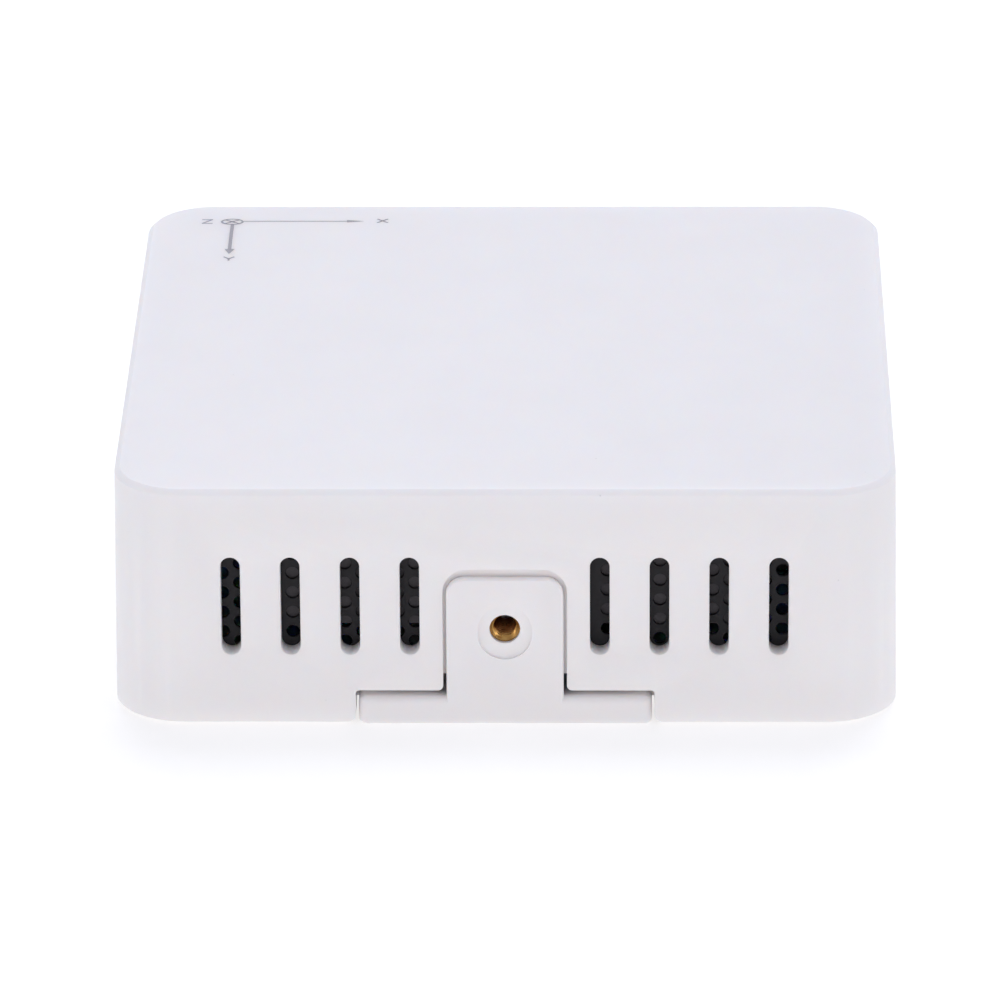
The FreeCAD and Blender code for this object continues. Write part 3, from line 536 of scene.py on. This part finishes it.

# Painted shade in the insert's bore: a darker rim right at the mouth, nearly the brass's own colour just
# inside, then darker towards the back, where the bore lies in shade.
BORE_SHADE_DEPTH = 1.7
BORE_SHADE_RAMP = ((0.0, (0.72, 0.66, 0.70)), (0.22, (1.0, 0.95, 0.90)), (1.0, (0.50, 0.34, 0.36)))


def paint_bore_shade(slot, start_y):
    """Tints a finish from a mouth at start_y (metres) towards the back, as painted shade for the dim depth
    of a blind hole.
    """
    tree = finishes[slot].node_tree
    shader = tree.nodes["Principled BSDF"]
    colour = shader.inputs["Base Color"].links[0].from_socket
    split = add_node(tree, "ShaderNodeSeparateXYZ")
    tree.links.new(place(tree), split.inputs[0])
    depth = spread(tree, split.outputs["Y"], 0.0, 1.0, start_y, start_y + BORE_SHADE_DEPTH * MM)
    bore_shaded = blend(tree, 1.0, colour, ramp(tree, depth, BORE_SHADE_RAMP), "MULTIPLY")
    tree.links.new(bore_shaded, shader.inputs["Base Color"])


# Painted shade darkens the brass towards the back of the bore.
paint_bore_shade("brass_insert", insert_low.y)


# Cover screws with domed heads, cross recesses and cut threads

HEAD_HEIGHT = 1.8
HEAD_RADIUS = 2.3
# Height and radius, from the middle of the dome to the underside of the head
HEAD_PROFILE = ((0.0, 1.05), (0.06, 1.42), (0.22, 1.82), (0.48, 2.12), (0.8, 2.26), (1.1, HEAD_RADIUS),
                (1.72, HEAD_RADIUS), (HEAD_HEIGHT, 2.24))
SHANK_ROOT = 0.92
SHANK_CREST = 1.25
SHANK_PITCH = 1.1
SHANK_STEPS = 10
SHANK_NECK = 0.6
SHANK_TAPER = 1.8
SHANK_TIP = 0.2
SHANK_SHARPNESS = 2.6
SCREW_POINTS = 36
RECESS_DEPTH = 1.15
RECESS_OVERSHOOT = 0.1
# Half length and half width of a recess arm
RECESS_MOUTH = (1.32, 0.30)
RECESS_FLOOR = (0.42, 0.17)


def screw_mesh(name, x, y, low_z, high_z):
    """A self-tapping screw that points up, in millimetres, with its head at the bottom."""
    rings = [[(radius, z)] * SCREW_POINTS for z, radius in HEAD_PROFILE]
    length = high_z - low_z - HEAD_HEIGHT
    count = int(length / SHANK_PITCH * SHANK_STEPS)
    for index in range(count + 1):
        along = length * index / count
        taper = min(1.0, (length - along) / SHANK_TAPER * (1.0 - SHANK_TIP) + SHANK_TIP)
        ring = []
        for step in range(SCREW_POINTS):
            phase = (along / SHANK_PITCH - step / SCREW_POINTS) % 1.0
            ridge = max(0.0, 1.0 - SHANK_SHARPNESS * abs(phase - 0.5) * 2)
            radius = SHANK_ROOT + (SHANK_CREST - SHANK_ROOT) * (ridge if along > SHANK_NECK else 0.0)
            ring.append((radius * taper, HEAD_HEIGHT + along))
        rings.append(ring)
    vertices = []
    for ring in rings:
        for step, (radius, z) in enumerate(ring):
            turn = 2 * math.pi * step / SCREW_POINTS
            vertices.append(((x + radius * math.cos(turn)) * MM, (y + radius * math.sin(turn)) * MM,
                             (low_z + z) * MM))
    faces = [tuple(reversed(range(SCREW_POINTS))),
             tuple(range((len(rings) - 1) * SCREW_POINTS, len(rings) * SCREW_POINTS))]
    for row in range(len(rings) - 1):
        for step in range(SCREW_POINTS):
            beside = (step + 1) % SCREW_POINTS
            faces.append((row * SCREW_POINTS + step, row * SCREW_POINTS + beside,
                          (row + 1) * SCREW_POINTS + beside, (row + 1) * SCREW_POINTS + step))
    return mesh_from(name, vertices, faces)


def recess_arm(name, x, y, low_z, turned):
    """One arm of a cross recess, narrower towards its floor."""
    vertices = []
    for z, (half_length, half_width) in ((-RECESS_OVERSHOOT, RECESS_MOUTH), (RECESS_DEPTH, RECESS_FLOOR)):
        for side_u, side_v in ((-1, -1), (1, -1), (1, 1), (-1, 1)):
            u, v = side_u * half_length, side_v * half_width
            if turned:
                u, v = -v, u
            vertices.append(((x + u) * MM, (y + v) * MM, (low_z + z) * MM))
    faces = [(3, 2, 1, 0), (4, 5, 6, 7)] + [(i, (i + 1) % 4, (i + 1) % 4 + 4, i + 4) for i in range(4)]
    return mesh_from(name, vertices, faces)


def carved(name, mesh, cutters):
    """The mesh with each of the cutters taken out of it."""
    body = bpy.data.objects.new("carved", mesh)
    scene.collection.objects.link(body)
    tools = []
    for cutter in cutters:
        tool = bpy.data.objects.new("cutter", cutter)
        scene.collection.objects.link(tool)
        step = body.modifiers.new("cut", "BOOLEAN")
        step.operation = "DIFFERENCE"
        step.solver = "EXACT"
        step.object = tool
        tools.append(tool)
    bpy.context.view_layer.update()
    result = bpy.data.meshes.new_from_object(body.evaluated_get(bpy.context.evaluated_depsgraph_get()))
    for piece in [body] + tools:
        bpy.data.objects.remove(piece)
    result.name = name
    return result


low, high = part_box("cover_screws")
for side, x in (("left", low.x / MM + HEAD_RADIUS), ("right", high.x / MM - HEAD_RADIUS)):
    y = (low.y + high.y) / 2 / MM
    name = side + "_cover_screw"
    arms = [recess_arm(name, x, y, low.z / MM, turned) for turned in (False, True)]
    screw = carved(name, screw_mesh(name, x, y, low.z / MM, high.z / MM), arms)
    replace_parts(new_piece(name, screw, "casing", "steel_screws"), "cover_screws")


# Axis marks on the top face

PRINT_THICKNESS = 0.012
TOP_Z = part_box("front_housing")[1].z / MM
AXIS_ORIGIN = (-33.70, 38.00)
# Half width and half height of the ring at the origin, which is a little flattened
RING_OUTER = (1.38, 0.96)
RING_INNER = (1.12, 0.76)
RING_POINTS = 40
CROSS_REACH = (0.84, 0.60)
CROSS_WIDTH = 0.22


def ring_points(half_width, half_height):
    """An oval round the origin of the axes."""
    x, y = AXIS_ORIGIN
    return [(x + half_width * math.cos(2 * math.pi * step / RING_POINTS),
             y + half_height * math.sin(2 * math.pi * step / RING_POINTS)) for step in range(RING_POINTS)]


def stroke(x1, y1, x2, y2, width):
    """A straight stroke with square ends, as four corners."""
    along = Vector((x2 - x1, y2 - y1)).normalized()
    across = Vector((-along.y, along.x)) * width / 2
    return [(x1 + across.x, y1 + across.y), (x1 - across.x, y1 - across.y),
            (x2 - across.x, y2 - across.y), (x2 + across.x, y2 + across.y)]


AXES_AND_LETTERS = (
    stroke(-32.33, 38.16, -19.9, 38.16, 0.18),              # X axis
    [(-19.94, 38.53), (-19.94, 37.79), (-17.90, 38.16)],    # its arrow head
    stroke(-33.64, 37.14, -33.64, 29.0, 0.40),              # Y axis
    [(-34.23, 29.09), (-33.64, 27.54), (-33.04, 29.09)],    # its arrow head
    stroke(-16.31, 38.88, -15.03, 37.66, 0.21),             # letter X
    stroke(-16.31, 37.66, -15.03, 38.88, 0.21),
    stroke(-37.34, 38.68, -36.04, 38.68, 0.17),             # letter Z
    stroke(-37.34, 37.48, -36.04, 37.48, 0.17),
    stroke(-37.26, 37.50, -36.12, 38.66, 0.19),
    stroke(-34.22, 26.62, -33.60, 25.98, 0.22),             # letter Y
    stroke(-32.96, 26.62, -33.60, 25.98, 0.22),
    stroke(-33.60, 26.02, -33.60, 25.42, 0.22),
)


def add_prism(bm, corners):
    """Adds an upright plate with the given corners, sunk a little into the top face."""
    low_z = (TOP_Z - PRINT_THICKNESS / 2) * MM
    high_z = (TOP_Z + PRINT_THICKNESS) * MM
    below = [bm.verts.new((x * MM, y * MM, low_z)) for x, y in corners]
    above = [bm.verts.new((x * MM, y * MM, high_z)) for x, y in corners]
    bm.faces.new(above)
    bm.faces.new(list(reversed(below)))
    for index in range(len(corners)):
        after = (index + 1) % len(corners)
        bm.faces.new((below[index], below[after], above[after], above[index]))


def axis_marks():
    """The mesh of all marks: the ring, the cross in it, then the axes and their letters."""
    bm = bmesh.new()
    outer, inner = ring_points(*RING_OUTER), ring_points(*RING_INNER)
    for index in range(RING_POINTS):
        after = (index + 1) % RING_POINTS
        add_prism(bm, [outer[index], outer[after], inner[after], inner[index]])
    x, y = AXIS_ORIGIN
    reach_x, reach_y = CROSS_REACH
    for rise in (1, -1):
        add_prism(bm, stroke(x - reach_x, y - rise * reach_y, x + reach_x, y + rise * reach_y, CROSS_WIDTH))
    for corners in AXES_AND_LETTERS:
        add_prism(bm, corners)
    bmesh.ops.recalc_face_normals(bm, faces=bm.faces)
    mesh = bpy.data.meshes.new("axis_marks")
    bm.to_mesh(mesh)
    bm.free()
    return mesh


new_piece("axis_marks", axis_marks(), "casing", "axis_print")


# Floor, backdrop and light

FLOOR_SIZE = 8.0
FLOOR_GAP = 0.0001
FLOOR_TONE = 0.75
FLOOR_GLOW = 0.39
FLOOR_LIFT = 0.05


def floor_material():
    """A matt white table, lit softly from below, and lifted for the camera, in gloss and through clear
    pieces, so that it reads as plain white but keeps a faint shadow."""
    material, tree, shader = new_material("floor")
    shader.inputs["Base Color"].default_value = (FLOOR_TONE, FLOOR_TONE, FLOOR_TONE, 1.0)
    shader.inputs["Roughness"].default_value = 0.9
    glow = add_node(tree, "ShaderNodeEmission")
    path = add_node(tree, "ShaderNodeLightPath")
    seen = path.outputs["Is Camera Ray"]
    for kind in ("Is Glossy Ray", "Is Transmission Ray"):
        either = add_node(tree, "ShaderNodeMath", operation="MAXIMUM")
        tree.links.new(seen, either.inputs[0])
        tree.links.new(path.outputs[kind], either.inputs[1])
        seen = either.outputs[0]
    lift = add_node(tree, "ShaderNodeMath", operation="MULTIPLY_ADD")
    lift.inputs[1].default_value = FLOOR_LIFT
    lift.inputs[2].default_value = FLOOR_GLOW
    tree.links.new(seen, lift.inputs[0])
    tree.links.new(lift.outputs[0], glow.inputs["Strength"])
    total = add_node(tree, "ShaderNodeAddShader")
    tree.links.new(shader.outputs["BSDF"], total.inputs[0])
    tree.links.new(glow.outputs["Emission"], total.inputs[1])
    tree.links.new(total.outputs["Shader"], tree.nodes["Material Output"].inputs["Surface"])
    return material


half = FLOOR_SIZE / 2
floor_corners = [(-half, -half, 0), (half, -half, 0), (half, half, 0), (-half, half, 0)]
floor = bpy.data.objects.new("floor", mesh_from("floor", floor_corners, [(0, 1, 2, 3)]))
scene.collection.objects.link(floor)
floor.data.materials.append(floor_material())
floor.location.z = cad_low[2] - FLOOR_GAP

WORLD_LIGHT = 0.46
DOME_LOW = (0.94, 0.93, 1.0)
DOME_HIGH = (0.88, 0.91, 1.0)
# The dome's colour changes between these heights, where 0 is the horizon and 1 straight up.
DOME_RANGE = (0.1, 0.95)


def studio_world():
    """A soft dome, cooler towards the top."""
    world = bpy.data.worlds.new("studio")
    world.use_nodes = True
    tree = world.node_tree
    split = add_node(tree, "ShaderNodeSeparateXYZ")
    tree.links.new(add_node(tree, "ShaderNodeTexCoord").outputs["Generated"], split.inputs[0])
    height = spread(tree, split.outputs["Z"], 0.0, 1.0, *DOME_RANGE)
    background = tree.nodes["Background"]
    tree.links.new(ramp(tree, height, [(0.0, DOME_LOW), (1.0, DOME_HIGH)]), background.inputs["Color"])
    background.inputs["Strength"].default_value = WORLD_LIGHT
    return world


scene.world = studio_world()

COOL = (0.885, 0.91, 1.0)
WARM = (1.0, 0.96, 0.98)
UNDER_PART = (0, 0, 0)
LOW_ON_PART = (0, 0, 0.01)
# Name, place, target, width of the square, power in watts and colour
SOFTBOXES = (
    ("back_softbox", (0.03, 0.34, 0.70), UNDER_PART, 0.5, 3.15, COOL),
    ("overhead_softbox", (0.03, -0.15, 0.75), UNDER_PART, 0.5, 0.3, COOL),
    ("front_softbox", (0.0, -0.95, 0.06), LOW_ON_PART, 0.30, 0.66, WARM),
    ("side_softbox_left", (-0.68, -0.48, 0.30), LOW_ON_PART, 0.17, 0.62, WARM),
    ("side_softbox_right", (0.68, -0.48, 0.30), LOW_ON_PART, 0.17, 0.62, WARM),
)

for name, position, target, width, power, colour in SOFTBOXES:
    lamp = bpy.data.lights.new(name, "AREA")
    lamp.shape = "SQUARE"
    lamp.size = width
    lamp.energy = power
    lamp.color = colour
    holder = bpy.data.objects.new(name, lamp)
    scene.collection.objects.link(holder)
    holder.location = position
    holder.rotation_euler = (Vector(position) - Vector(target)).to_track_quat("Z", "Y").to_euler()


# Camera, at the photograph's viewing angle

# Angles in radians
ELEVATION = 0.4073
YAW = 0.0167
ROLL = 0.0064
# The focal length as a multiple of the image's width, and the sensor's width in millimetres
FOCAL_SHARE = 8.2381
SENSOR = 36.0
DISTANCE = 0.96046
NEAREST = 0.01
TARGET = mm(-1.169, 0.0, 8.464)

level = math.cos(ELEVATION)
back = Vector((math.sin(YAW) * level, -math.cos(YAW) * level, math.sin(ELEVATION)))
right = Vector((math.cos(YAW), math.sin(YAW), 0.0))
up = back.cross(right)
rolled_right = right * math.cos(ROLL) - up * math.sin(ROLL)
rolled_up = right * math.sin(ROLL) + up * math.cos(ROLL)
camera_data = bpy.data.cameras.new("camera")
camera_data.sensor_width = SENSOR
camera_data.sensor_fit = "HORIZONTAL"
camera_data.lens = SENSOR * FOCAL_SHARE
camera_data.clip_start = NEAREST
camera = bpy.data.objects.new("camera", camera_data)
scene.collection.objects.link(camera)
turned = Matrix((rolled_right, rolled_up, back)).transposed().to_4x4()
camera.matrix_world = Matrix.Translation(TARGET + back * DISTANCE) @ turned
scene.camera = camera

scene.view_settings.view_transform = "Standard"
